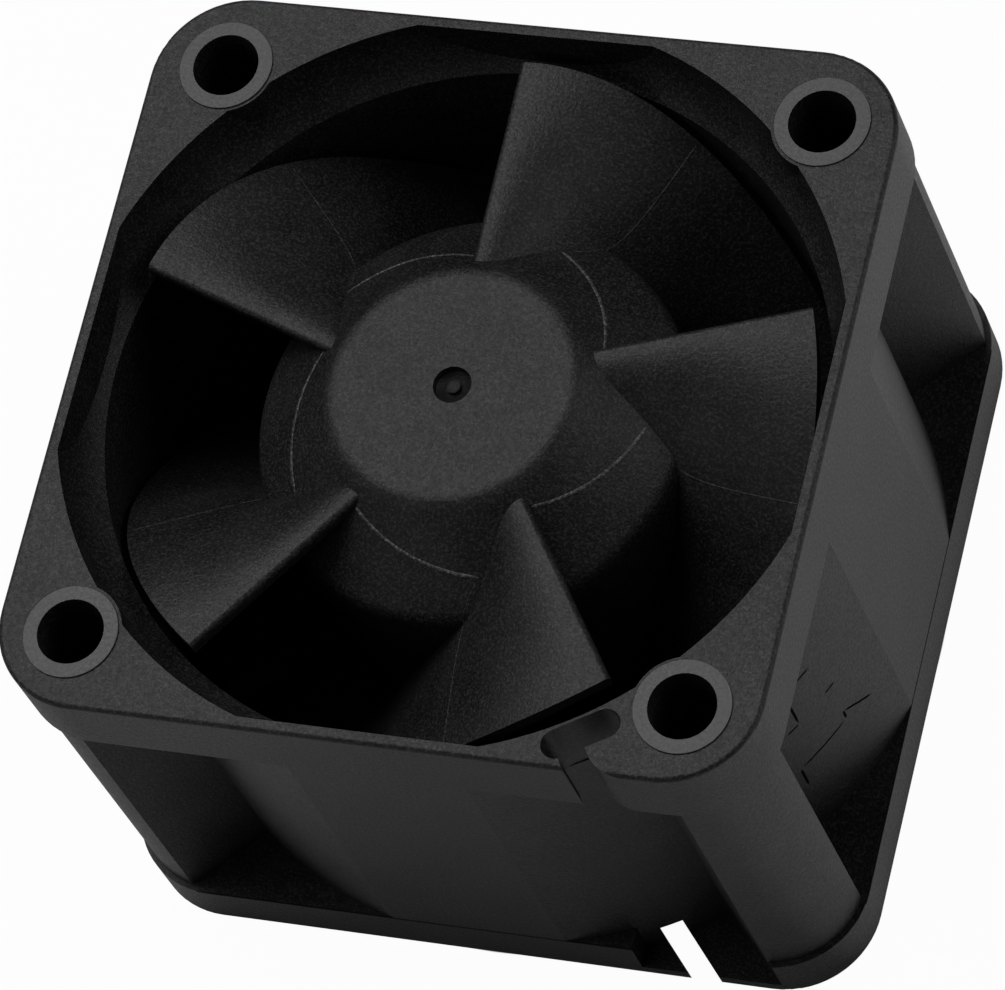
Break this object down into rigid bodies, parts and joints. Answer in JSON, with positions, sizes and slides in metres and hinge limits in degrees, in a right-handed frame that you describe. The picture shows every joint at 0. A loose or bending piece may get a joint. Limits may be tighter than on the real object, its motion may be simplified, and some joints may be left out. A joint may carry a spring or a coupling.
{
  "type": "square axial cooling fan",
  "caption": "Deep square axial fan with a round duct, swept blades, ball-bearing rotor and corner screw holes, as used in rack servers.",
  "frame": {"origin": "centre of the rear (outlet) face", "axes": "+Z along the fan's axis, out of the inlet; X and Y along the frame's sides, with the lead's slots at +X -Y"},
  "size_m": [0.04, 0.04, 0.028],
  "materials": {
    "frame_plastic": "fine moulded texture, matt",
    "impeller_plastic": "fine moulded texture, matt",
    "pressed_steel": "zinc-plated, satin",
    "bearing_steel": "polished",
    "electrical_steel": "laminated, satin",
    "brass": "turned",
    "ferrite": "bonded magnet, matt",
    "copper_wire": "enamelled copper winding",
    "insulator_plastic": "moulded, satin",
    "cage_plastic": "moulded, satin",
    "board": "solder-masked laminate",
    "chip_plastic": "moulded, matt",
    "chip_ceramic": "fired, matt",
    "tin": "tinned"
  },
  "bodies": {
    "housing": {"frame": "frame_plastic", "bearing_tube": "brass", "stator_core": "electrical_steel", "upper_insulator": "insulator_plastic", "lower_insulator": "insulator_plastic", "circuit_board": "board", "driver_chip": "chip_plastic", "hall_sensor": "chip_plastic", "capacitors": "chip_ceramic", "resistors": "chip_plastic", "diode": "chip_plastic", "lead_pads": "tin", "terminal_pins": "tin", "winding_1": "copper_wire", "winding_2": "copper_wire", "winding_3": "copper_wire", "winding_4": "copper_wire", "front_bearing_outer_ring": "bearing_steel", "front_bearing_shields": "pressed_steel", "rear_bearing_outer_ring": "bearing_steel", "rear_bearing_shields": "pressed_steel"},
    "rotor": {"impeller": "impeller_plastic", "rotor_yoke": "pressed_steel", "magnet_ring": "ferrite", "rotor_bush": "brass", "shaft": "bearing_steel", "shaft_clip": "pressed_steel", "preload_spring": "pressed_steel", "front_bearing_inner_ring": "bearing_steel", "rear_bearing_inner_ring": "bearing_steel"},
    "front_ball_set": {"front_bearing_balls": "bearing_steel", "front_bearing_cage": "cage_plastic"},
    "rear_ball_set": {"rear_bearing_balls": "bearing_steel", "rear_bearing_cage": "cage_plastic"}
  },
  "joints": [
    {"name": "rotor_spin", "type": "hinge", "parent": "housing", "child": "rotor", "pos_m": [0, 0, 0.014], "axis": [0, 0, 1], "continuous": true},
    {"name": "front_cage_spin", "type": "hinge", "parent": "housing", "child": "front_ball_set", "pos_m": [0, 0, 0.01765], "axis": [0, 0, 1], "continuous": true},
    {"name": "rear_cage_spin", "type": "hinge", "parent": "housing", "child": "rear_ball_set", "pos_m": [0, 0, 0.00335], "axis": [0, 0, 1], "continuous": true}
  ],
  "couplings": [
    {"joint": "front_cage_spin", "follows": "rotor_spin", "ratio": 0.38571},
    {"joint": "rear_cage_spin", "follows": "rotor_spin", "ratio": 0.38571}
  ]
}
